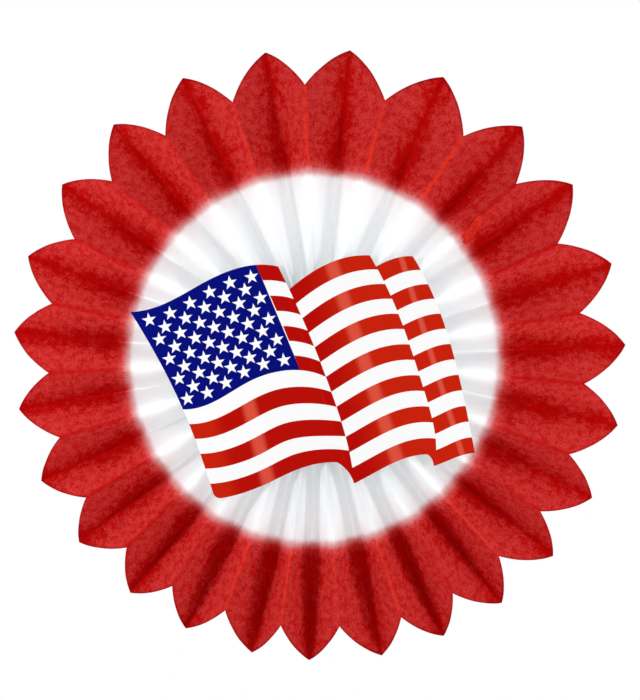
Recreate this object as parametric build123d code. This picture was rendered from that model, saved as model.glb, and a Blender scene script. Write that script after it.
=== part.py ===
"""A pleated tissue fan opened to a full disc, with a die-cut printed flag card on its crown.

The strip of tissue is folded into panels of equal width. Every second fold stands forward as a ridge and
ends in a notch of the rim. The folds between lie back as valleys and end in the petals' tips.
"""

import os
from math import cos, hypot, pi, radians, sin, sqrt

from build123d import *

# Frame: the origin is the hub's centre on the back plane, +Z is up and the front faces -Y.
# Driving sizes, in millimetres and degrees

# The pleated strip
PETALS = 25
PLEAT_DEPTH = 26.16  # from ridge to valley at the notches, in a petal of mean width
TISSUE_THICKNESS = 0.3
HUB_RADIUS = 5.0
NOTCH_RADIUS = 219.5
TIP_RADIUS = 250.0
EDGE_BULGE = 0.60  # share of the notch's depth that a petal's edge has climbed halfway to its tip
EDGE_STEPS = 4  # straight cuts along each bowed edge, from a notch to a tip

# The opening by hand: the petals are spread wider at one side and crowded at the other
FIRST_TIP_BEARING = 10.28
SPREAD = 7.88
SPREAD_BEARING = 163.1
SECOND_SPREAD = 0.89
SECOND_SPREAD_BEARING = 78.4
RIM_SHIFT = 4.3
RIM_SHIFT_BEARING = 48.0

# Radii between the hub and the notches at which the pleats' section is drawn
SECTION_RADII = (13.0, 25.0, 50.0, 100.0, 160.0)

# The thread through the pleats at the hub
TIE_RING_RADIUS = 10.0
THREAD_RADIUS = 0.4
THREAD_SIDES = 5  # the round thread is drawn with flats
NEEDLE_CLEARANCE = 0.15

# The glue that holds the card
GLUE_RADIUS = 16.0
GLUE_THICKNESS = 0.8
SEAT_CLEARANCE = 0.1

# The flag card and its print
CARD_THICKNESS = 0.4
INK_THICKNESS = 0.08
CARD_CORNER_RADIUS = 6.0
STRIPES = 13
CANTON_STRIPES = 7
CANTON_SHARE_TOP = 0.856  # how far the canton reaches along the first wave, at its top and at its foot
CANTON_SHARE_FOOT = 0.822
STAR_COLUMNS = 11
STAR_ROWS = 9
STAR_POINTS = 5
STAR_RADIUS = 6.1
STAR_WAIST = 0.4
STAR_TILT = 9.6
STAR_DRIFT = 0.0027  # of the wave, by which each row of stars lags behind the slope of the hoist

# The waving cloth's edges, as points (X, Z) from the hub's centre: top, bottom and side of each wave
HOIST_EDGE = ((-150.7, 37.9), (-123.6, -8.9), (-108.1, -41.1), (-94.5, -75.9), (-82.1, -114.0))
FIRST_CREASE = ((-30.6, 74.8), (-6.3, 21.8), (12.7, -27.5), (26.8, -74.2), (31.1, -101.5))
SECOND_CREASE = ((43.8, 83.9), (67.1, 36.2), (86.4, -20.9), (96.5, -59.4), (97.7, -74.1), (95.7, -87.3))
FLY_EDGE = ((78.7, 83.2), (101.4, 36.2), (116.9, -17.0), (129.3, -76.7))
FIRST_TOP = ((-118.9, 46.5), (-90.6, 62.1), (-62.4, 73.8), (-42.6, 76.4))
CANTON_FOOT = ((-81.3, -34.3), (-53.0, -17.9), (-29.5, -10.3), (-13.0, -9.4))
LAST_GAP_TOP = ((-73.8, -87.7), (-40.9, -75.5), (-17.4, -64.6), (10.8, -63.2))
FIRST_BOTTOM = ((-64.4, -110.7), (-36.2, -99.9), (-8.2, -87.6), (17.5, -84.4))
SECOND_TOP = ((2.5, 73.6), (28.2, 83.0))
SECOND_BOTTOM = ((50.6, -90.9), (66.4, -83.9), (88.3, -76.7))
THIRD_TOP = ((59.9, 80.1), (69.3, 82.7))
THIRD_BOTTOM = ((104.0, -84.3), (113.4, -80.4))
FIRST_TAIL_BEND = (22.1, -87.7)
SECOND_TAIL_BEND = (91.4, -78.4)

# Where each wave meets a crease, as shares of that crease's length
FIRST_WAVE_END_SHARE = 0.919
SECOND_WAVE_START_SHARE = 0.110
SECOND_WAVE_END_SHARE = 0.949
THIRD_WAVE_START_SHARE = 0.058
FIRST_CREASE_CROWDING = 0.115  # how much closer the stripes lie at the foot of the first crease

FOLDS = 2 * PETALS
PANEL_WIDTH = hypot(2 * NOTCH_RADIUS * sin(pi / FOLDS), PLEAT_DEPTH)
CANTON_FOOT_HEIGHT = CANTON_STRIPES / STRIPES
MID_PLANE = -(PANEL_WIDTH + TISSUE_THICKNESS) / 2
CROWN_PLANE = -(PANEL_WIDTH + TISSUE_THICKNESS)
GLUE_PLANE = CROWN_PLANE - SEAT_CLEARANCE
CARD_PLANE = GLUE_PLANE - GLUE_THICKNESS
INK_PLANE = CARD_PLANE - CARD_THICKNESS


def fold_bearing(fold):
    """Angle of a fold, anticlockwise from +X. Even folds are the petals' valleys, odd folds the ridges."""
    turn = 360.0 * fold / FOLDS
    first = SPREAD * cos(radians(turn - SPREAD_BEARING))
    second = SECOND_SPREAD * cos(2 * radians(turn - SECOND_SPREAD_BEARING))
    return radians(turn + FIRST_TIP_BEARING + first + second)


def on_ray(radius, bearing):
    """Point (X, Z) at a radius on a bearing."""
    return radius * cos(bearing), radius * sin(bearing)


def half_depth(fold, radius):
    """How far a fold stands from the mid plane, and the width between neighbouring folds there.

    A panel keeps its width, so the pleats get shallower as they spread. Past the notches, where nothing
    ties the petals to each other, each panel runs on straight."""
    step = (fold_bearing(fold + 1) - fold_bearing(fold - 1)) / 2
    width = 2 * radius * sin(step / 2)
    tied_radius = min(radius, NOTCH_RADIUS)
    tied_width = 2 * tied_radius * sin(step / 2)
    depth = sqrt(PANEL_WIDTH**2 - tied_width**2)
    slope = tied_width**2 / (tied_radius * depth)
    return (depth - slope * (radius - tied_radius)) / 2, width


def fold_levels(fold, radius):
    """Distances from the mid plane to a fold's outside and inside, and half the width of its blunt edge."""
    half, width = half_depth(fold, radius)
    panel = hypot(width, 2 * half)
    rise = TISSUE_THICKNESS * panel / width
    outside = half + TISSUE_THICKNESS / 2
    inside = half - rise / 2
    blunt = (rise - TISSUE_THICKNESS) / 2 * width / (2 * half)
    return outside, inside, blunt


def valley_reach(valley):
    """The radius of a petal's valley in the upright plane across both its ridges, as a share of theirs."""
    low, high = fold_bearing(valley - 1), fold_bearing(valley + 1)
    return cos((high - low) / 2) / cos(fold_bearing(valley) - (low + high) / 2)


def petal_section(valley, radius):
    """The front and back outline of one petal's two panels, in the upright plane across both its ridges."""
    low, high = valley - 1, valley + 1
    middle = (fold_bearing(low) + fold_bearing(high)) / 2
    across = (-sin(middle), cos(middle))
    low_point = on_ray(radius, fold_bearing(low))
    high_point = on_ray(radius, fold_bearing(high))
    valley_point = on_ray(radius * valley_reach(valley), fold_bearing(valley))
    low_out, low_in, low_blunt = fold_levels(low, radius)
    high_out, high_in, high_blunt = fold_levels(high, radius)
    valley_out, valley_in, valley_blunt = fold_levels(valley, radius)

    def corner(point, shift, level):
        x, z = point
        return x + shift * across[0], MID_PLANE + level, z + shift * across[1]

    front = (
        corner(low_point, 0, -low_out),
        corner(low_point, low_blunt, -low_out),
        corner(valley_point, 0, valley_in),
        corner(high_point, -high_blunt, -high_out),
        corner(high_point, 0, -high_out),
    )
    back = (
        corner(high_point, 0, -high_in),
        corner(valley_point, valley_blunt, valley_out),
        corner(valley_point, -valley_blunt, valley_out),
        corner(low_point, 0, -low_in),
    )
    return front, back


def tip_radius(bearing):
    """The rim is a circle a little off the hub's centre."""
    return TIP_RADIUS + RIM_SHIFT * cos(bearing - radians(RIM_SHIFT_BEARING))


def edge_places(valley, notch):
    """Points (X, Z) along the bowed edge of a petal, from one of its notches to its tip."""
    top = tip_radius(fold_bearing(valley))
    halfway = NOTCH_RADIUS + EDGE_BULGE * (top - NOTCH_RADIUS)
    middle = on_ray(halfway, (fold_bearing(notch) + fold_bearing(valley)) / 2)
    ends = on_ray(NOTCH_RADIUS, fold_bearing(notch)), on_ray(top, fold_bearing(valley))
    edge = ThreePointArc(ends[0], middle, ends[1])
    return [edge @ (step / EDGE_STEPS) for step in range(EDGE_STEPS + 1)]


def on_panel(corners, place):
    """The point of a panel's flat end above a place (X, Z), from three of the panel's corners."""
    first, second, third = (Vector(*corner) for corner in corners)
    normal = (second - first).cross(third - first)
    fall = normal.X * (place.X - first.X) + normal.Z * (place.Y - first.Z)
    return Vector(place.X, first.Y - fall / normal.Y, place.Y)


def flat_face(*corners):
    """A flat face with straight edges."""
    return Face(Wire.make_polygon(corners, close=True))


def panel_ends(valley):
    """The free ends of a petal's two panels, which lie flat past the notches: both sides and the cut edge."""
    front, back = petal_section(valley, NOTCH_RADIUS)
    tip_front, tip_back = petal_section(valley, tip_radius(fold_bearing(valley)) / valley_reach(valley))
    faces = [flat_face(back[2], tip_back[2], tip_back[1], back[1])]
    tip_wall = [tip_front[2]]
    for notch, crest, edge, inside, foot, tip_foot in (
        (valley - 1, front[0], front[1], back[3], back[2], tip_back[2]),
        (valley + 1, front[4], front[3], back[0], back[1], tip_back[1]),
    ):
        places = [*edge_places(valley, notch)[1:-1], Vector(tip_foot[0], tip_foot[2])]
        near = [on_panel((edge, front[2], tip_front[2]), place) for place in places]
        far = [on_panel((inside, foot, tip_foot), place) for place in places]
        faces.append(flat_face(edge, *near, tip_front[2], front[2]))
        faces.append(flat_face(edge, crest, near[0]))
        faces.append(flat_face(inside, *far, foot))
        rim = list(zip([crest, *near], [inside, *far]))
        faces += [flat_face(*start, *reversed(end)) for start, end in zip(rim, rim[1:])]
        tip_wall += rim[-1] if notch < valley else reversed(rim[-1])
    faces.append(flat_face(*tip_wall))
    return faces


def bent_side(ridge, valley, next_ridge, next_valley):
    """One side of a panel between two sections. A sheet can't twist without stretching, so it is bent
    along the diagonal from the ridge to the valley."""
    return [flat_face(ridge, valley, next_valley), flat_face(ridge, next_valley, next_ridge)]


def panels(valley):
    """Both sides of a petal's two panels from the hub to the notches, with their blunt folds."""
    sections = [petal_section(valley, radius) for radius in (HUB_RADIUS, *SECTION_RADII, NOTCH_RADIUS)]
    front, back = sections[0]
    faces = [flat_face(*reversed(front + back))]
    for (front, back), (next_front, next_back) in zip(sections, sections[1:]):
        faces.append(flat_face(front[0], front[1], next_front[1], next_front[0]))
        faces += bent_side(front[1], front[2], next_front[1], next_front[2])
        faces += bent_side(front[3], front[2], next_front[3], next_front[2])
        faces.append(flat_face(front[3], front[4], next_front[4], next_front[3]))
        faces += bent_side(back[0], back[1], next_back[0], next_back[1])
        faces.append(flat_face(back[1], back[2], next_back[2], next_back[1]))
        faces += bent_side(back[3], back[2], next_back[3], next_back[2])
    return faces


def ring(ring_radius, section):
    """A ring round the hub's axis at mid depth, swept from a section drawn about its own centre."""
    placed = Plane(origin=(ring_radius, MID_PLANE, 0), x_dir=(1, 0, 0), z_dir=(0, 0, 1)) * section
    return revolve(placed, Axis((0, MID_PLANE, 0), (0, 1, 0)))


def pleated_tissue():
    """The folded strip, its ends joined into a ring, with needle holes for the tie near the hub."""
    skin = [face for valley in range(0, FOLDS, 2) for face in panels(valley) + panel_ends(valley)]
    hole = 2 * (THREAD_RADIUS + NEEDLE_CLEARANCE)
    return Solid(Shell(skin)) - ring(TIE_RING_RADIUS, Rectangle(hole, hole))


def centre_tie():
    """The thread drawn through the needle holes and closed on itself."""
    return ring(TIE_RING_RADIUS, RegularPolygon(THREAD_RADIUS, THREAD_SIDES))


def disc(plane, radius, thickness):
    """A round layer that stands forward of a plane."""
    return extrude(Plane.XZ.offset(-plane) * Circle(radius), amount=thickness)


class Wave:
    """One wave of the flag between two upright edges, drawn from its borders at known heights.

    A place on it is (along, down), each from 0 to 1. Lines of equal down are the stripes' borders."""

    def __init__(self, left, right, borders, crowding=0.0):
        self.left, self.right, self.crowding = left, right, crowding
        self.spans = len(borders[0][1]) + 1
        self.borders = [
            (down, Spline(left @ down, *points, right @ self.right_share(down))) for down, points in borders
        ]

    def right_share(self, down):
        """The share of the right edge's length above a border."""
        return down + self.crowding * down * (1 - down)

    def at(self, along, down):
        """The point that blends the two edges and the borders above and below it."""
        number = max(1, sum(border[0] < down for border in self.borders))
        (high, upper), (low, lower) = self.borders[number - 1], self.borders[number]
        local = (down - high) / (low - high)
        sides = (self.left @ down) * (1 - along) + (self.right @ self.right_share(down)) * along
        rise = upper @ along - (upper @ 0) * (1 - along) - (upper @ 1) * along
        fall = lower @ along - (lower @ 0) * (1 - along) - (lower @ 1) * along
        return sides + rise * (1 - local) + fall * local

    def level(self, down, start, end):
        """A border of equal down from one place along the wave to another."""
        steps = [start + (end - start) * span / self.spans for span in range(self.spans + 1)]
        return Spline(*[self.at(along, down) for along in steps])

    def field(self, high, low):
        """The field between two borders, right across the wave."""
        near = self.left.trim(high, low)
        far = self.right.trim(self.right_share(high), self.right_share(low))
        return make_face([self.level(high, 0, 1), far, self.level(low, 0, 1), near])

    def field_to_canton(self, low):
        """The field above a border, from the hoist as far as the canton reaches."""
        upper, lower = self.level(0, 0, canton_share(0)), self.level(low, 0, canton_share(low))
        return make_face([upper, Line(upper @ 1, lower @ 1), lower, self.left.trim(0, low)])

    def field_past_canton(self, high, low):
        """The field between two borders, from the canton's edge on."""
        upper, lower = self.level(high, canton_share(high), 1), self.level(low, canton_share(low), 1)
        far = self.right.trim(self.right_share(high), self.right_share(low))
        return make_face([upper, far, lower, Line(upper @ 0, lower @ 0)])


def canton_share(down):
    """How far along the first wave the canton's straight edge lies at a height."""
    return CANTON_SHARE_TOP + (CANTON_SHARE_FOOT - CANTON_SHARE_TOP) * down / CANTON_FOOT_HEIGHT


def upright(points, start=0.0, end=1.0):
    """A smooth upright edge through points, or the stretch of it between two shares of its length."""
    whole = Spline(*points)
    return whole if (start, end) == (0.0, 1.0) else whole.trim(start, end)


def waves():
    """The three waves of cloth from the hoist to the fly. Each starts a little behind the one before it."""
    first = Wave(
        upright(HOIST_EDGE),
        upright(FIRST_CREASE, 0.0, FIRST_WAVE_END_SHARE),
        (
            (0.0, FIRST_TOP),
            (CANTON_FOOT_HEIGHT, CANTON_FOOT),
            ((STRIPES - 2) / STRIPES, LAST_GAP_TOP),
            (1.0, FIRST_BOTTOM),
        ),
        FIRST_CREASE_CROWDING,
    )
    second = Wave(
        upright(FIRST_CREASE, SECOND_WAVE_START_SHARE, 1.0),
        upright(SECOND_CREASE, 0.0, SECOND_WAVE_END_SHARE),
        ((0.0, SECOND_TOP), (1.0, SECOND_BOTTOM)),
    )
    third = Wave(
        upright(SECOND_CREASE, THIRD_WAVE_START_SHARE, 1.0),
        upright(FLY_EDGE),
        ((0.0, THIRD_TOP), (1.0, THIRD_BOTTOM)),
    )
    return first, second, third


def tail(crease, wave_end, bottom, bend):
    """The flap of cloth that turns down along a crease, from the bottom edge of the wave before it."""
    inside_last_stripe = wave_end * (1 - 0.5 / STRIPES)
    side = upright(crease, inside_last_stripe, 1.0)
    turn = ThreePointArc(side @ 1, bend, bottom[-1])
    return make_face([side, turn, Line(bottom[-1], side @ 0)])


def tails():
    """The flaps at both creases."""
    return (
        tail(FIRST_CREASE, FIRST_WAVE_END_SHARE, FIRST_BOTTOM, FIRST_TAIL_BEND),
        tail(SECOND_CREASE, SECOND_WAVE_END_SHARE, SECOND_BOTTOM, SECOND_TAIL_BEND),
    )


def joined(fields):
    """Fields of one colour as one drawing, with the card's lowest corner rounded where they reach it."""
    drawing = Sketch() + list(fields)
    return [rounded(face) for face in drawing.faces()]


def rounded(face):
    """The face with the card's lowest corner rounded, if it is at that corner."""
    corner = Vector(*HOIST_EDGE[-1])
    found = [vertex for vertex in face.vertices() if (Vector(*vertex) - corner).length < CARD_CORNER_RADIUS]
    return face.fillet_2d(CARD_CORNER_RADIUS, found) if found else face


def layer(faces, back_plane, thickness):
    """Flat faces stood forward of a plane as closed solids."""
    return Compound([extrude(Plane.XZ.offset(-back_plane) * face, amount=thickness) for face in faces])


def star(centre):
    """A five-pointed star round a point of the canton. All of them lean alike."""
    half_turn = 180.0 / STAR_POINTS
    corners = []
    for number in range(2 * STAR_POINTS):
        radius = STAR_RADIUS if number % 2 == 0 else STAR_RADIUS * STAR_WAIST
        corner = on_ray(radius, radians(90.0 + STAR_TILT + number * half_turn))
        corners.append(centre + Vector(*corner))
    return make_face(Polyline(*corners, close=True))


def star_places(wave):
    """Rows of stars across the canton, every second row set half a step in, and carried by the wave."""
    for row in range(STAR_ROWS):
        down = CANTON_FOOT_HEIGHT * (row + 1) / (STAR_ROWS + 1)
        drift = STAR_DRIFT * ((STAR_ROWS - 1) / 2 - row)
        for column in range(row % 2, STAR_COLUMNS, 2):
            yield wave.at(canton_share(down) * (column + 1) / (STAR_COLUMNS + 1) + drift, down)


def flag_card():
    """The die-cut card, one flat sheet with the outline of all three waves."""
    whole = [wave.field(0, 1) for wave in waves()]
    return layer(joined([*whole, *tails()]), CARD_PLANE, CARD_THICKNESS)


def stripe_print():
    """The red fields: every second stripe of each wave, beside the canton only to its edge, and the flaps."""
    fields = list(tails())
    for number, wave in enumerate(waves()):
        for stripe in range(0, STRIPES, 2):
            beside_canton = number == 0 and stripe < CANTON_STRIPES
            field = wave.field_past_canton if beside_canton else wave.field
            fields.append(field(stripe / STRIPES, (stripe + 1) / STRIPES))
    return layer(joined(fields), INK_PLANE, INK_THICKNESS)


def canton_print():
    """The blue field, with the stars left out of it so that the bare card shows."""
    first = waves()[0]
    field = first.field_to_canton(CANTON_FOOT_HEIGHT)
    for place in star_places(first):
        field -= star(place)
    return layer(field.faces(), INK_PLANE, INK_THICKNESS)


def main():
    """Writes each piece to its own file."""
    pieces = {
        "pleated_tissue": pleated_tissue(),
        "centre_tie": centre_tie(),
        "glue_spot": disc(GLUE_PLANE, GLUE_RADIUS, GLUE_THICKNESS),
        "flag_card": flag_card(),
        "stripe_print": stripe_print(),
        "canton_print": canton_print(),
    }
    os.makedirs("parts", exist_ok=True)
    for name, piece in pieces.items():
        export_step(piece, f"parts/{name}.step")


main()
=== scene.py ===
from math import atan2, cos, hypot, pi, radians, sin, sqrt

import bpy
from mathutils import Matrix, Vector, noise


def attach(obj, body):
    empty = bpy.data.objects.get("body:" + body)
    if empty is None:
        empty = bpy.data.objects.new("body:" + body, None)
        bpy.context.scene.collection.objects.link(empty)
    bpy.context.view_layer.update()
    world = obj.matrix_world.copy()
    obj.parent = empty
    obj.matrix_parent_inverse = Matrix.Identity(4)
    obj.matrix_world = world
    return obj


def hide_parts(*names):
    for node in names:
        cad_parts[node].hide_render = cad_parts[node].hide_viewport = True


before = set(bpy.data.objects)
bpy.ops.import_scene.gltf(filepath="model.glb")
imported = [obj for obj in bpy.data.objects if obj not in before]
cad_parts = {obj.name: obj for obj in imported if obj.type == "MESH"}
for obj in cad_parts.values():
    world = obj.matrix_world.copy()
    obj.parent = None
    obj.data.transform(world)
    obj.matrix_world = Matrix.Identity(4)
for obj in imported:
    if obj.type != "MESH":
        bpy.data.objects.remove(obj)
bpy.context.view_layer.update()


# Pleated tissue
# One strip of tissue folded into fifty panels, opened to a full disc and glued end to end. The
# folded stack was trimmed to a point, which gives the petals, and its outer part was dipped in
# red dye.

PETALS = 25
FOLDS = 2 * PETALS
NOTCH_RADIUS = 0.2195
TIP_RADIUS = 0.250
PLEAT_DEPTH = 0.02616
PANEL_WIDTH = hypot(2 * NOTCH_RADIUS * sin(pi / FOLDS), PLEAT_DEPTH)
MID_PLANE = -0.01915
HUB_RADIUS = 0.005
SHEET_THICKNESS = 0.00012
KEPT_DEPTH = 0.985  # the sheet stays just inside its solid

# Opened by hand, the petals spread unevenly round the hub (degrees, anticlockwise from +X).
FIRST_TIP_BEARING = 10.28
SPREAD, SPREAD_BEARING = 7.88, 163.1
SECOND_SPREAD, SECOND_SPREAD_BEARING = 0.89, 78.4
# Each fold also lies a little off that spread (degrees, from the petal at the right).
FOLD_SHIFTS = (
    0.6, 0.2, 0.4, 0.1, 0.7, -0.5, -1.5, -1.7, -0.8, 0.3, 0.7, 1.1, 0.0, 0.6, 0.0, 0.8, -0.2,
    0.3, -0.7, -0.1, -0.7, -0.2, -0.7, 0.2, -0.3, 0.1, 0.0, 0.3, 0.1, 0.5, 0.5, 0.0, 0.0, -0.5,
    0.7, -0.8, -0.8, -0.7, 0.6, 0.2, 0.5, -0.2, 0.5, -0.3, 0.6, -0.5, 0.2, -0.7, 0.4, 0.2,
)
# The tips lie on a circle a little off the hub.
RIM_SHIFT, RIM_SHIFT_BEARING = 0.0043, 48.0
# The stack slipped a little under the cutter, so the notches and tips differ too (millimetres).
NOTCH_SHIFTS = (
    -1.4, -1.5, -3.3, -2.1, -1.8, 3.8, 0.1, -0.4, 0.7, -0.2, 0.1, -1.6, -1.3,
    -0.8, -1.8, -0.6, -1.7, -0.4, -0.7, 2.1, 1.6, -0.4, 1.4, 0.9, -0.1,
)
TIP_SHIFTS = (
    0.0, -0.1, -0.9, -0.8, -2.1, -0.4, 0.7, 1.9, 2.2, 2.0, 1.3, 0.0, -0.5,
    -0.4, -0.9, -1.5, -1.0, -0.4, -0.2, 1.0, 1.2, 1.7, 2.0, 1.6, 0.3,
)
MILLIMETRE = 0.001
EDGE_BOW = 0.40
EDGE_WAVER = 0.0003

# Shares of a panel that the round of its fold takes. The undyed part was never pressed, so its
# ridges stay round, between these radii. The dyed part is creased sharp.
CREST_ROUNDING = 0.46
CREASE_ROUNDING = 0.06
ROUND_STARTS = (0.022, 0.060)
ROUND_ENDS = (0.140, 0.176)

# Unevenness between the folds: its height, how fast it changes from fold to fold, over a panel's
# width and over a metre of its length, and a seed. The crumples keep to the undyed part.
BUCKLES = (0.0011, 1.7, 0.0, 9, 3)
DENTS = (0.0006, 5.3, 2.5, 45, 11)
CRUMPLES = (0.0010, 4.1, 3.2, 75, 19)
CRUMPLES_START = (0.03, 0.08)
CRUMPLES_END = (0.148, 0.170)

PANEL_COLUMNS = 16
PANEL_ROWS = 58
COLUMN_CROWDING = 0.55  # the columns crowd towards the folds, where the sheet turns
ROW_CROWDING = 0.85  # and the rows towards the rim


def fold_bearing(fold):
    """Angle of a fold, anticlockwise from +X. Even folds are the valleys, odd folds the ridges."""
    turn = 360.0 * fold / FOLDS
    first = SPREAD * cos(radians(turn - SPREAD_BEARING))
    second = SECOND_SPREAD * cos(2 * radians(turn - SECOND_SPREAD_BEARING))
    return radians(turn + FIRST_TIP_BEARING + first + second + FOLD_SHIFTS[fold % FOLDS])


def on_ray(radius, bearing):
    return Vector((radius * cos(bearing), radius * sin(bearing)))


def rim_radius(fold):
    """How far out the cut edge meets a fold: a tip at a valley and a notch at a ridge."""
    if fold % 2:
        return NOTCH_RADIUS + NOTCH_SHIFTS[fold % FOLDS // 2] * MILLIMETRE
    stretch = RIM_SHIFT * cos(fold_bearing(fold) - radians(RIM_SHIFT_BEARING))
    return TIP_RADIUS + stretch + TIP_SHIFTS[fold % FOLDS // 2] * MILLIMETRE


def edge_radius(fold, bearing):
    """Radius of the bowed edge between a fold and the next."""
    tip, notch = (fold, fold + 1) if fold % 2 == 0 else (fold + 1, fold)
    climbed = (bearing - fold_bearing(notch)) / (fold_bearing(tip) - fold_bearing(notch))
    climbed += EDGE_BOW * climbed * (1 - climbed)
    return rim_radius(notch) + (rim_radius(tip) - rim_radius(notch)) * climbed


def reach(fold):
    """How far out a valley lies against the ridges beside it."""
    if fold % 2:
        return 1.0
    low, high = fold_bearing(fold - 1), fold_bearing(fold + 1)
    return cos((high - low) / 2) / cos(fold_bearing(fold) - (low + high) / 2)


def half_depth(fold, radius):
    """How far a fold stands from the mid plane. Past the notches the panels run on straight."""
    step = (fold_bearing(fold + 1) - fold_bearing(fold - 1)) / 2
    tied = min(radius, NOTCH_RADIUS)
    width = 2 * tied * sin(step / 2)
    depth = sqrt(PANEL_WIDTH**2 - width**2)
    return (depth - width**2 / (tied * depth) * (radius - tied)) / 2


def ease(value, low, high):
    share = min(max((value - low) / (high - low), 0.0), 1.0)
    return share * share * (3 - 2 * share)


def climb(share, radius):
    """Height share of a panel from its valley to its ridge."""
    crest = CREST_ROUNDING * ease(radius, *ROUND_STARTS) * (1 - ease(radius, *ROUND_ENDS))
    crest += CREASE_ROUNDING
    slope = 2 / (1 - (crest + CREASE_ROUNDING) / 2)
    height = slope * share - slope * CREASE_ROUNDING / 2
    if share < CREASE_ROUNDING:
        height = slope * share**2 / (2 * CREASE_ROUNDING)
    if share > 1 - crest:
        height -= slope * (share - 1 + crest) ** 2 / (2 * crest)
    return height / 2


def wobble(x, y, seed):
    """Smooth noise from -1 to 1."""
    return noise.noise(Vector((x, y, seed)))


def uneven(marks, fold, share, radius):
    height, by_fold, over_width, over_length, seed = marks
    return height * wobble(fold * by_fold + share * over_width, radius * over_length, seed)


def on_panel(fold, share, radius, line):
    """Place on a panel, which is a little uneven between its folds."""
    valley, ridge = (fold, fold + 1) if fold % 2 == 0 else (fold + 1, fold)
    from_valley = share if fold % 2 == 0 else 1 - share
    low, high = half_depth(valley, radius), -half_depth(ridge, radius)
    level = low + (high - low) * climb(from_valley, radius)
    opened = radius / NOTCH_RADIUS
    between_folds = sin(pi * share)
    undyed = ease(radius, *CRUMPLES_START) * (1 - ease(radius, *CRUMPLES_END))
    level += opened * between_folds * uneven(BUCKLES, fold, share, radius)
    level += opened**2 * between_folds * uneven(DENTS, fold, share, radius)
    level += undyed * between_folds * uneven(CRUMPLES, fold, share, radius)
    place = line * radius
    return (place.x, MID_PLANE + KEPT_DEPTH * level, place.y)


def across_panel(fold, share):
    """Ray from the hub through a panel, with a length that keeps the panel straight."""
    line = on_ray(1, fold_bearing(fold)) * reach(fold) * (1 - share)
    line += on_ray(1, fold_bearing(fold + 1)) * reach(fold + 1) * share
    return line


def panel_grid(fold):
    """Places of one panel from a fold to the next, as columns from the hub to the rim."""
    columns = []
    for step in range(PANEL_COLUMNS + 1):
        share = step / PANEL_COLUMNS
        share = share - sin(2 * pi * share) / (2 * pi) * COLUMN_CROWDING
        line = across_panel(fold, share)
        bearing = atan2(line.y, line.x)
        bearing += 2 * pi * round((fold_bearing(fold) - bearing) / (2 * pi))
        rim = edge_radius(fold, bearing) / line.length
        rim += EDGE_WAVER * wobble(fold * 3.1 + share * 4, 0.5, 7) * sin(pi * share)
        column = []
        for row in range(PANEL_ROWS + 1):
            radius = HUB_RADIUS + (rim - HUB_RADIUS) * (row / PANEL_ROWS) ** ROW_CROWDING
            place = on_panel(fold, share, radius, line)
            column.append((place, ((fold + share) * PANEL_WIDTH, radius)))
        columns.append(column)
    return columns


# Ridges with a painted highlight along them, and ridges with a painted shade line beside them: how
# strongly, and how each mark fades over the columns beside its ridge.
HIGHLIGHTED_RIDGES = {7: 1.0, 9: 0.9, 11: 0.8, 13: 0.4, 33: 0.8, 35: 0.9, 37: 0.4, 39: 0.9, 43: 0.7}
HIGHLIGHT_FADE = (1.0, 0.8, 0.3)
SHADE_LINED_RIDGES = {
    1: 0.8, 3: 0.9, 5: 0.8, 15: 0.4, 17: 0.5, 19: 0.7, 21: 0.8, 23: 0.8, 25: 0.8, 27: 0.9, 29: 0.8,
    31: 0.5, 41: 0.4, 45: 0.6, 47: 0.8, 49: 0.9,
}
RIDGE_SHADE_FADE = (1.0, 0.9, 0.4)

# The strip's glued end shows as a narrow lap that runs off one ridge. It leans away from the
# ridge towards the hub (degrees at its outer end, and more after a length).
LAP_RIDGE = 5
LAP_WIDTH = 0.0075
LAP_START, LAP_END = 0.1545, 0.1785
LAP_LIFT = 0.0010
LAP_LEAN, LAP_MORE_LEAN, LAP_LEAN_LENGTH = 0.5, 1.9, 0.0205
LAP_RAGGED_END = 0.0030
LAP_TORN_SIDE = 0.0006
# the lap carries half the painted ridge highlight
LAP_HIGHLIGHT = 0.5
LAP_ON_PANEL = 0.15  # where on the next panel its mottling is taken from
LAP_ROWS = 16
LAP_COLUMNS = 8


def lap_place(bearing, radius):
    """Place on the panel under the lap, by bearing and radius."""
    fold = LAP_RIDGE - 1 if bearing < fold_bearing(LAP_RIDGE) else LAP_RIDGE
    near = reach(fold) * sin(bearing - fold_bearing(fold))
    far = reach(fold + 1) * sin(fold_bearing(fold + 1) - bearing)
    share = near / (near + far)
    return on_panel(fold, share, radius, across_panel(fold, share))


def end_lap(points, uvs, faces, ridge_highlight, ridge_shade):
    """Adds the lap to the sheet."""
    first = len(points)
    sides = [column / LAP_COLUMNS - 0.5 for column in range(LAP_COLUMNS + 1)]
    for row in range(LAP_ROWS + 1):
        for side in sides:
            start = LAP_START + LAP_RAGGED_END * wobble(side * 9, 0.5, 2)
            radius = start + (LAP_END - start) * row / LAP_ROWS
            lean = radians(LAP_LEAN + LAP_MORE_LEAN * (LAP_END - radius) / LAP_LEAN_LENGTH)
            outermost = side in (sides[0], sides[-1])
            torn = LAP_TORN_SIDE * wobble(side * 9, row * 0.7, 5) if outermost else 0.0
            bearing = fold_bearing(LAP_RIDGE) - lean + (side * LAP_WIDTH + torn) / radius
            x, y, z = lap_place(bearing, radius)
            points.append((x, y - LAP_LIFT, z))
            ridge_highlight.append(LAP_HIGHLIGHT)
            ridge_shade.append(0.0)
    for row in range(LAP_ROWS):
        for column in range(LAP_COLUMNS):
            a = first + row * len(sides) + column
            corners = [a, a + 1, a + len(sides) + 1, a + len(sides)]
            faces.append(corners)
            for corner in corners:
                x, y, z = points[corner]
                side = sides[(corner - first) % len(sides)]
                across = (LAP_RIDGE + LAP_ON_PANEL) * PANEL_WIDTH + side * LAP_WIDTH
                uvs.append((across, hypot(x, z)))


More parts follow.
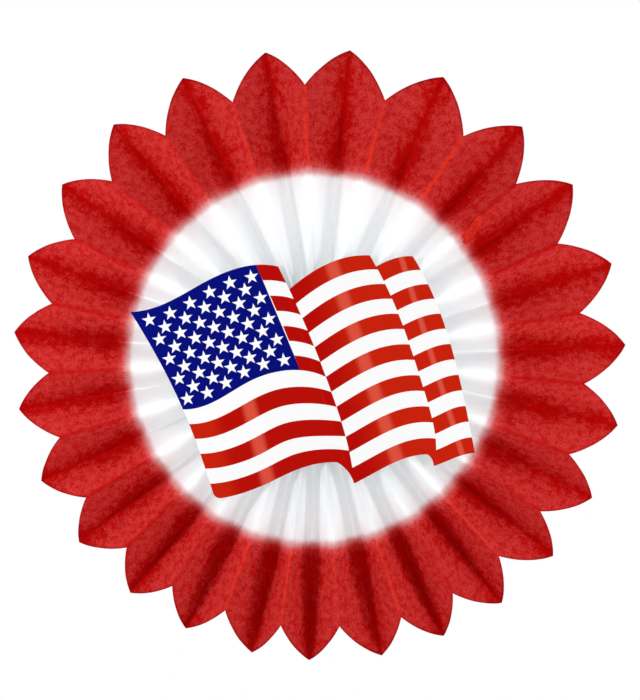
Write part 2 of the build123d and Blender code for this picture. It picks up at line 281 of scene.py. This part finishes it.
def along_ridge(fold, step, ridges, fade):
    """Strength of a mark at one column of a panel."""
    nearest = (fold if step < PANEL_COLUMNS / 2 else fold + 1) % FOLDS
    away = min(step, PANEL_COLUMNS - step)
    return ridges.get(nearest, 0.0) * (fade[away] if away < len(fade) else 0.0)


def smooth_mesh(name, points, faces):
    mesh = bpy.data.meshes.new(name)
    mesh.from_pydata(points, [], faces)
    mesh.polygons.foreach_set("use_smooth", [True] * len(faces))
    mesh.update()
    return mesh


def tissue_mesh():
    """The ring of panels with the lap on it, marked for painted ridge highlight and shade, and its
    cut edge.
    """
    points, uvs, faces, ridge_highlight, ridge_shade, cut = [], [], [], [], [], []
    index = {}

    def corner_key(fold, step, row):
        return ((fold * PANEL_COLUMNS + step) % (FOLDS * PANEL_COLUMNS), row)

    for fold in range(FOLDS):
        grid = panel_grid(fold)
        for step, column in enumerate(grid):
            for row, (place, _) in enumerate(column):
                key = corner_key(fold, step, row)
                if key not in index:
                    index[key] = len(points)
                    points.append(place)
                    ridge_highlight.append(along_ridge(fold, step, HIGHLIGHTED_RIDGES, HIGHLIGHT_FADE))
                    ridge_shade.append(along_ridge(fold, step, SHADE_LINED_RIDGES, RIDGE_SHADE_FADE))
                    cut.append(float(row == PANEL_ROWS))
        for step in range(PANEL_COLUMNS):
            for row in range(PANEL_ROWS):
                corners = ((step, row), (step + 1, row), (step + 1, row + 1), (step, row + 1))
                faces.append([index[corner_key(fold, s, r)] for s, r in corners])
                uvs.extend(grid[s][r][1] for s, r in corners)
    sheet_points = len(points)
    end_lap(points, uvs, faces, ridge_highlight, ridge_shade)
    cut.extend([0.0] * (len(points) - sheet_points))
    lap = [float(number >= sheet_points) for number in range(len(points))]
    mesh = smooth_mesh("pleated_sheet", points, faces)
    layer = mesh.uv_layers.new(name="sheet")
    for loop, uv in zip(layer.data, uvs):
        loop.uv = uv
    for mark, values in {"ridge_highlight": ridge_highlight, "ridge_shade": ridge_shade, "cut_edge": cut, "lap": lap}.items():
        mesh.attributes.new(mark, "FLOAT", "POINT").data.foreach_set("value", values)
    return mesh


class Flow:
    """A socket of a material's nodes that takes part in Python sums."""

    def __init__(self, tree, socket=None):
        self.tree, self.socket = tree, socket

    def node(self, kind, settings=(), inputs=(), output=0):
        """Adds a node, with its settings set before its sockets."""
        made = self.tree.nodes.new(kind)
        for name, value in dict(settings).items():
            setattr(made, name, value)
        feed(made, dict(inputs))
        return Flow(self.tree, made.outputs[output])

    def maths(self, operation, first, second=0.0):
        return self.node("ShaderNodeMath", {"operation": operation}, {0: first, 1: second})

    def __add__(self, other):
        return self.maths("ADD", self, other)

    __radd__ = __add__

    def __sub__(self, other):
        return self.maths("SUBTRACT", self, other)

    def __rsub__(self, other):
        return self.maths("SUBTRACT", other, self)

    def __mul__(self, other):
        return self.maths("MULTIPLY", self, other)

    __rmul__ = __mul__

    def __truediv__(self, other):
        return self.maths("DIVIDE", self, other)

    def __rtruediv__(self, other):
        return self.maths("DIVIDE", other, self)

    def vector_maths(self, operation, first, second, output=0):
        settings = {"operation": operation}
        return self.node("ShaderNodeVectorMath", settings, {0: first, 1: second}, output)

    def axis(self, number):
        """One axis of this place."""
        return self.node("ShaderNodeSeparateXYZ", inputs={0: self}, output=number)

    def place(self):
        """Place in the fan's own metres."""
        return self.node("ShaderNodeTexCoord", output=3)

    def grain(self, scale, detail, rough=0.5):
        """Soft noise from 0 to 1 over this place."""
        inputs = {"Vector": self, "Scale": scale, "Detail": detail, "Roughness": rough}
        return self.node("ShaderNodeTexNoise", inputs=inputs)

    def blend(self, first, second):
        """One colour where this is 0, the other where it is 1."""
        inputs = {0: self, 6: first, 7: second}
        return self.node("ShaderNodeMix", {"data_type": "RGBA"}, inputs, output=2)

    def ease(self, low, high):
        """0 below low, 1 above high and smooth between."""
        settings = {"interpolation_type": "SMOOTHSTEP"}
        return self.node("ShaderNodeMapRange", settings, {0: self, 1: low, 2: high})

    def bump(self, strength, distance):
        """The surface's normal, with this as its height."""
        inputs = {"Strength": strength, "Distance": distance, "Height": self}
        return self.node("ShaderNodeBump", inputs=inputs)


def feed(shader, sockets):
    """Sets or links sockets of a shader or other node."""
    for name, value in sockets.items():
        if isinstance(value, Flow):
            value.tree.links.new(value.socket, shader.inputs[name])
        else:
            shader.inputs[name].default_value = value


def new_material(name):
    material = bpy.data.materials.new(name)
    material.use_nodes = True
    return material, Flow(material.node_tree), material.node_tree.nodes["Principled BSDF"]


def stand(name, data):
    """Puts a new object in the scene."""
    made = bpy.data.objects.new(name, data)
    bpy.context.scene.collection.objects.link(made)
    return made


def dress(piece, material):
    piece.data.materials.clear()
    piece.data.materials.append(material)


# The white part is a circle a little off the hub. The dye seeped past it along the fibres.
WHITE_RADIUS = 0.1521
WHITE_CENTRE = (-0.0016, 0.0, 0.0001)
DYE_EDGE = (WHITE_RADIUS - 0.0054, WHITE_RADIUS + 0.0050)
DYE_DEEPENS = (WHITE_RADIUS + 0.0008, WHITE_RADIUS + 0.0110)
SEEP = 0.0028
BLEED = 0.0030
LAP_DIPPED = 0.03
ALONG_FIBRES = (1.0, 0.3, 1.0)

# Shade is painted in a band along each valley, which narrows to the rim.
VALLEY_BAND_WIDTH = 0.024
VALLEY_BAND_NARROWS = 0.012
INNER_PART = (0.152, 0.172)
OUTER_PART = (0.160, 0.215)
CREASE_WIDTH = (0.0002, 0.0030)
MOTTLE = (0.38, 0.62)

RED, PALE_RED = (0.54, 0.001, 0.001, 1), (0.74, 0.054, 0.050, 1)
WARM_RED = (0.70, 0.052, 0.048, 1)
VALLEY_SHADE_RED = (0.54, 0.0, 0.0002, 1)
RIDGE_SHADE_RED = (0.50, 0.0, 0.0002, 1)
CUT_RED = (0.40, 0.0005, 0.0005, 1)
CREASE_SHADE_RED = (0.42, 0.0, 0.0001, 1)
WRINKLE_SHADE_RED = (0.42, 0.0005, 0.0005, 1)
HIGHLIGHT_RED = (0.93, 0.034, 0.010, 1)
BLED_RED, PALE_BLED_RED = (0.74, 0.036, 0.036, 1), (0.86, 0.150, 0.148, 1)
WHITE, BRIGHT_WHITE = (0.925, 0.945, 0.953, 1), (0.960, 0.968, 0.970, 1)
CREASE_SHADE_WHITE = (0.82, 0.81, 0.81, 1)

# Share of the light behind the sheet that shines through it, most along soaked valleys.
SHINE_THROUGH = 0.65
DYED_SHINE_THROUGH = 0.04
SOAKED_SHINE_THROUGH = 0.50
WHITE_LIGHT = (0.95, 0.955, 0.96, 1)
SOAKED_LIGHT = (0.72, 0.008, 0.006, 1)


def dipped_tissue():
    """White tissue dyed from the outside in, with painted shade in its folds and painted ridge
    highlights.
    """
    material, flow, shader = new_material("dipped_tissue")
    sheet = flow.node("ShaderNodeUVMap", {"uv_map": "sheet"})
    fibres = flow.vector_maths("MULTIPLY", sheet, ALONG_FIBRES)
    from_valley = flow.maths("PINGPONG", sheet.axis(0), PANEL_WIDTH)
    flat = flow.vector_maths("MULTIPLY", flow.place(), (1.0, 0.0, 1.0))
    radius = flow.vector_maths("DISTANCE", flat, WHITE_CENTRE, output=1)
    ridge_highlight, ridge_shade, cut_edge, lap = (
        flow.node("ShaderNodeAttribute", {"attribute_name": mark}, output=2)
        for mark in ("ridge_highlight", "ridge_shade", "cut_edge", "lap")
    )
    fine = sheet.grain(620.0, 3.0, 0.7)
    blotch = sheet.grain(165.0, 3.0, 0.65)
    clouds = sheet.grain(34.0, 4.0, 0.6)
    warm = sheet.grain(150.0, 2.0, 0.6)

    # Where the dye reached, the painted shade along valleys and ridges, and the painted highlight
    # on some ridges.
    seep = fibres.grain(520.0, 2.0, 0.6) - 0.5
    bleed = sheet.grain(70.0, 2.0, 0.6) - 0.5
    edge = radius + SEEP * seep + BLEED * bleed + LAP_DIPPED * lap
    dyed, deep = edge.ease(*DYE_EDGE), edge.ease(*DYE_DEEPENS)
    outer, inner = radius.ease(*OUTER_PART), 1 - radius.ease(*INNER_PART)
    mottle = fine.ease(*MOTTLE) * 0.5 + blotch.ease(*MOTTLE) * 0.5
    near = 1 - from_valley / (VALLEY_BAND_WIDTH - outer * VALLEY_BAND_NARROWS)
    valley_shade = (near + (0.5 - mottle) + (clouds - 0.5) * 3.0 - inner * 0.3).ease(-0.15, 0.90)
    crease = 1 - from_valley.ease(*CREASE_WIDTH)
    painted_highlight = ridge_highlight * (blotch.ease(0.30, 0.62) * 0.3 + 0.7) * (1 - outer * 0.6)
    wrinkle = 1 - flow.maths("ABSOLUTE", sheet.grain(26.0, 1.0, 0.6) - 0.5).ease(0.0, 0.012)
    wrinkle = wrinkle * sheet.grain(19.0, 1.0, 0.6).ease(0.52, 0.60)

    red = mottle.blend(RED, PALE_RED)
    red = (warm.ease(0.46, 0.68) * 0.4).blend(red, WARM_RED)
    # Painted shade: a dark band along each valley.
    red = (valley_shade * 0.88).blend(red, VALLEY_SHADE_RED)
    # Painted shade: a dark line beside the listed ridges.
    red = (ridge_shade * 0.9).blend(red, RIDGE_SHADE_RED)
    red = (cut_edge * 0.7).blend(red, CUT_RED)
    # Painted shade: darker red in the valley creases towards the rim.
    red = (crease * outer * 0.6).blend(red, CREASE_SHADE_RED)
    # Painted highlight: bright orange along the listed ridges and on the lap.
    red = painted_highlight.blend(red, HIGHLIGHT_RED)
    red = deep.blend(mottle.blend(BLED_RED, PALE_BLED_RED), red)
    white = (clouds * 0.5 + fine * 0.5).ease(0.2, 0.8).blend(WHITE, BRIGHT_WHITE)
    # Painted shade: grey in the valley creases of the white part.
    white = (crease * 0.15).blend(white, CREASE_SHADE_WHITE)
    colour = dyed.blend(white, red)
    # Painted shade: darker red in the wrinkle grooves.
    colour = (wrinkle * 0.25 * dyed).blend(colour, WRINKLE_SHADE_RED)
    height = fine * 0.35 + sheet.grain(2600.0, 2.0, 0.6) * 0.4 + blotch * 0.5 - wrinkle * 0.6
    normal = height.bump(0.3, 0.0003)
    feed(
        shader,
        {"Base Color": colour, "Normal": normal, "Roughness": 0.7, "Specular IOR Level": 0.02},
    )

    # Light from behind comes through the paper, in red where the dye soaked it.
    soaked = (1 - from_valley.ease(0.0, VALLEY_BAND_WIDTH)) * (1 - outer * 0.5) * (1 - crease * 0.6)
    shine = (1 - dyed) * (1 - crease * 0.20) * SHINE_THROUGH
    shine = shine + dyed * (soaked * SOAKED_SHINE_THROUGH + DYED_SHINE_THROUGH)
    plain_light = flow.node("ShaderNodeBsdfTranslucent", inputs={"Color": WHITE_LIGHT})
    red_light = flow.node("ShaderNodeBsdfTranslucent", inputs={"Color": SOAKED_LIGHT})
    through = flow.node("ShaderNodeMixShader", inputs={0: dyed, 1: plain_light, 2: red_light})
    paper = Flow(flow.tree, shader.outputs[0])
    body = flow.node("ShaderNodeMixShader", inputs={0: shine, 1: paper, 2: through})
    feed(flow.tree.nodes["Material Output"], {"Surface": body})
    return material


tissue = stand("folded_tissue", tissue_mesh())
thicken = tissue.modifiers.new("thickness", "SOLIDIFY")
thicken.thickness, thicken.offset = SHEET_THICKNESS, 0.0
dress(tissue, dipped_tissue())
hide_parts("pleated_tissue")
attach(tissue, "root")


# Centre tie
# A two-ply cotton thread drawn through the folded stack near its inner end, so that the strip can
# turn about it when it is opened.

TIE_RADIUS = 0.010
PLY_RADIUS = 0.00019
PLIES = 2
PLY_TURNS = 42
PLY_STEPS = 14 * PLY_TURNS
PLY_SIDES = 7
SHADED_COTTON, COTTON = (0.80, 0.79, 0.75, 1), (0.93, 0.92, 0.89, 1)


def on_tie(angle, outward, back):
    """Place beside the thread's centre line, at an angle round the hub."""
    at = on_ray(TIE_RADIUS + outward, angle)
    return (at.x, MID_PLANE + back, at.y)


def twisted_thread():
    """The plies laid round each other along a ring."""
    points, faces = [], []
    for ply in range(PLIES):
        first = len(points)
        for step in range(PLY_STEPS):
            angle = 2 * pi * step / PLY_STEPS
            lay = angle * PLY_TURNS + 2 * pi * ply / PLIES
            for side in range(PLY_SIDES):
                around = 2 * pi * side / PLY_SIDES
                outward = PLY_RADIUS * (cos(lay) + cos(around))
                back = PLY_RADIUS * (sin(lay) + sin(around))
                points.append(on_tie(angle, outward, back))
        for step in range(PLY_STEPS):
            after = (step + 1) % PLY_STEPS
            for side in range(PLY_SIDES):
                beside = (side + 1) % PLY_SIDES
                corners = ((step, side), (after, side), (after, beside), (step, beside))
                faces.append([first + s * PLY_SIDES + k for s, k in corners])
    return smooth_mesh("thread", points, faces)


def cotton():
    material, flow, shader = new_material("cotton_thread")
    fluff = flow.place().grain(1800.0, 2.0)
    colour, normal = fluff.blend(SHADED_COTTON, COTTON), fluff.bump(0.5, 0.0001)
    feed(shader, {"Base Color": colour, "Normal": normal, "Roughness": 0.85})
    return material


thread = stand("twisted_thread", twisted_thread())
dress(thread, cotton())
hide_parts("centre_tie")
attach(thread, "root")


# Glue spot
# A flat round of glue, pressed out between the crown of the folds and the card that it holds. It
# has set a little yellow.

YELLOWED_GLUE, GLUE = (0.72, 0.68, 0.56, 1), (0.88, 0.86, 0.79, 1)


def set_glue():
    material, flow, shader = new_material("set_glue")
    streaks = flow.place().grain(240.0, 4.0)
    colour, normal = streaks.blend(YELLOWED_GLUE, GLUE), streaks.bump(0.4, 0.0003)
    feed(shader, {"Base Color": colour, "Normal": normal, "Roughness": 0.32})
    return material


dress(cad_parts["glue_spot"], set_glue())


# Flag card
# One die-cut sheet of coated white card in the outline of a waving flag, stuck on flat. A fine
# line is printed down it where the blue meets the stripes.

SHADED_CARD, CARD = (0.98, 0.98, 0.98, 1), (1.0, 1.0, 1.0, 1)
LINE_BLUE = (0.018, 0.0003, 0.130, 1)
LINE_X, LINE_LEAN = -0.01688, 0.419  # where it crosses the hub's height, and its lean
LINE_SIDE = (0.00030, 0.00045)
LINE_FOOT = (-0.0090, -0.0085)
LINE_TOP = (0.0765, 0.0770)


def coated_card():
    material, flow, shader = new_material("coated_card")
    place = flow.place()
    x, z = place.axis(0), place.axis(2)
    fibre = place.grain(700.0, 3.0)
    off = flow.maths("ABSOLUTE", x - LINE_X + z * LINE_LEAN)
    line = (1 - off.ease(*LINE_SIDE)) * z.ease(*LINE_FOOT) * (1 - z.ease(*LINE_TOP))
    colour = line.blend(fibre.blend(SHADED_CARD, CARD), LINE_BLUE)
    normal = fibre.bump(0.05, 0.0001)
    feed(shader, {"Base Color": colour, "Normal": normal, "Roughness": 0.35})
    return material


dress(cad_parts["flag_card"], coated_card())


# Stripe print
# Red printed stripes. Each wave of cloth is printed darker where it turns away at its left, and
# with one pale gleam where it would catch the light.

PRINT_GLOSS = 0.04
PRINT_ROUGHNESS = 0.32
SCARLET, PALE_SCARLET = (0.50, 0.0100, 0.0012, 1), (0.66, 0.0200, 0.0040, 1)
DARK_SCARLET, SHADED_SCARLET = (0.41, 0.0004, 0.0003, 1), (0.50, 0.0018, 0.0012, 1)
GLEAM = (0.74, 0.090, 0.052, 1)

# Lines down the print: a point of each, and how far it leans to the right on its way down.
FIRST_CREASE = (-0.0306, 0.0748, 0.345)
SECOND_CREASE = (0.0438, 0.0839, 0.385)
FIRST_GLEAM = (-0.0531, -0.0430, 0.250)
SECOND_GLEAM = (0.0143, 0.0723, 0.334)
THIRD_GLEAM = (0.0712, 0.0760, 0.310)
GLEAM_WIDTH, THIRD_GLEAM_WIDTH = 0.0085, 0.0036
CANTON_FOOT = -0.0105
SHARP = (-0.001, 0.001)
FIRST_WAVE_DARKENS = (-0.036, -0.022)
SECOND_WAVE_PALES = (-0.032, 0.006)


def red_print():
    material, flow, shader = new_material("red_print")
    place = flow.place()
    x, z = place.axis(0), place.axis(2)
    speckle = place.grain(900.0, 4.0, 0.7)

    def right_of(line):
        """Distance to the right of a line down the print."""
        at_x, at_z, lean = line
        return x - at_x - (at_z - z) * lean

    def gleam(line, width):
        return 1 - flow.maths("ABSOLUTE", right_of(line)).ease(width * 0.25, width)

    gleams = gleam(FIRST_GLEAM, GLEAM_WIDTH) + gleam(SECOND_GLEAM, GLEAM_WIDTH)
    gleams = flow.maths("MINIMUM", gleams + gleam(THIRD_GLEAM, THIRD_GLEAM_WIDTH), 1.0)
    past_first = right_of(FIRST_CREASE).ease(*SHARP)
    past_second = right_of(SECOND_CREASE).ease(*SHARP)
    beside_canton = (z - CANTON_FOOT).ease(*SHARP) * (1 - past_first)
    below_canton = right_of(FIRST_GLEAM).ease(*FIRST_WAVE_DARKENS) * (1 - past_first) * 0.9
    turned = (1 - right_of(SECOND_GLEAM).ease(*SECOND_WAVE_PALES)) * past_first * (1 - past_second)
    dark = flow.maths("MAXIMUM", beside_canton, turned)
    dark = flow.maths("MAXIMUM", dark, below_canton) * 0.9
    body = speckle.blend(SCARLET, PALE_SCARLET)
    body = dark.blend(body, speckle.blend(DARK_SCARLET, SHADED_SCARLET))
    colour = (gleams * 0.9).blend(body, GLEAM)
    finish = {"Roughness": PRINT_ROUGHNESS, "Specular IOR Level": PRINT_GLOSS}
    feed(shader, {"Base Color": colour, **finish})
    return material


dress(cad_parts["stripe_print"], red_print())


# Canton print
# The blue field at the hoist, printed in the same gloss ink on the card before it is cut. Its
# stars are left open, so they are the bare white card.

NAVY, BRIGHT_NAVY = (0.0, 0.0001, 0.115, 1), (0.0020, 0.0070, 0.255, 1)


def blue_print():
    material, flow, shader = new_material("blue_print")
    colour = flow.place().grain(800.0, 4.0, 0.7).blend(NAVY, BRIGHT_NAVY)
    finish = {"Roughness": PRINT_ROUGHNESS, "Specular IOR Level": PRINT_GLOSS}
    feed(shader, {"Base Color": colour, **finish})
    return material


dress(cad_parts["canton_print"], blue_print())


# Camera, floor and light
# A long lens square on to the front. Two soft lamps stand at the left and right, as beside a copy
# stand, with a weak one above, two behind, and a pale floor.

CAMERA_DISTANCE = 6.0
VIEW_CENTRE_X, VIEW_CENTRE_Z = 0.0033, 0.0070
PICTURE_ROWS = 700
ROW_HEIGHT = 0.0008180
SENSOR_WIDTH = 36.0
FAR_END = 50.0

camera = stand("camera", bpy.data.cameras.new("camera"))
camera.location = (VIEW_CENTRE_X, -CAMERA_DISTANCE, VIEW_CENTRE_Z)
camera.rotation_euler = (radians(90.0), 0.0, 0.0)
camera.data.sensor_width = SENSOR_WIDTH
camera.data.lens = SENSOR_WIDTH * CAMERA_DISTANCE / (PICTURE_ROWS * ROW_HEIGHT)
camera.data.clip_end = FAR_END
bpy.context.scene.camera = camera


def lamp(name, at, watts, width):
    """A round soft lamp that faces the hub."""
    made = stand(name, bpy.data.lights.new(name, "AREA"))
    made.data.shape, made.data.size, made.data.energy = "DISK", width, watts
    made.location = at
    made.rotation_euler = (-Vector(at)).to_track_quat("-Z", "Y").to_euler()


lamp("left_lamp", at=(-0.56, -0.50, 0.09), watts=2.20, width=0.14)
lamp("right_lamp", at=(0.56, -0.43, -0.03), watts=1.42, width=0.14)
lamp("top_lamp", at=(0.0, -0.55, 0.60), watts=0.60, width=0.2)
lamp("back_left_lamp", at=(-0.5, 1.1, 0.1), watts=4.0, width=0.2)
lamp("back_right_lamp", at=(0.5, 1.1, 0.1), watts=4.0, width=0.2)

ROOM_LIGHT = 0.40

world = bpy.data.worlds.new("studio")
world.use_nodes = True
bpy.context.scene.world = world
room = Flow(world.node_tree)
seen, gloss, clear = (room.node("ShaderNodeLightPath", output=number) for number in (0, 3, 6))
backdrop = room.maths("MINIMUM", seen + gloss + clear, 1.0)
strength = backdrop * (1 - ROOM_LIGHT) + ROOM_LIGHT
feed(world.node_tree.nodes["Background"], {"Color": (1.0, 1.0, 1.0, 1.0), "Strength": strength})

FLOOR_HEIGHT = -0.36
FLOOR_RADIUS = 1.3
FLOOR_SIDES = 96
PALE_GREY = (0.86, 0.86, 0.86, 1)

floor_rim = [on_ray(FLOOR_RADIUS, 2 * pi * side / FLOOR_SIDES) for side in range(FLOOR_SIDES)]
floor_mesh = bpy.data.meshes.new("floor")
floor_mesh.from_pydata(
    [(at.x, at.y, FLOOR_HEIGHT) for at in floor_rim], [], [list(range(FLOOR_SIDES))]
)
floor = stand("floor", floor_mesh)
pale, _, shader = new_material("pale_floor")
feed(shader, {"Base Color": PALE_GREY, "Roughness": 0.9})
dress(floor, pale)

bpy.context.scene.view_settings.view_transform = "Standard"
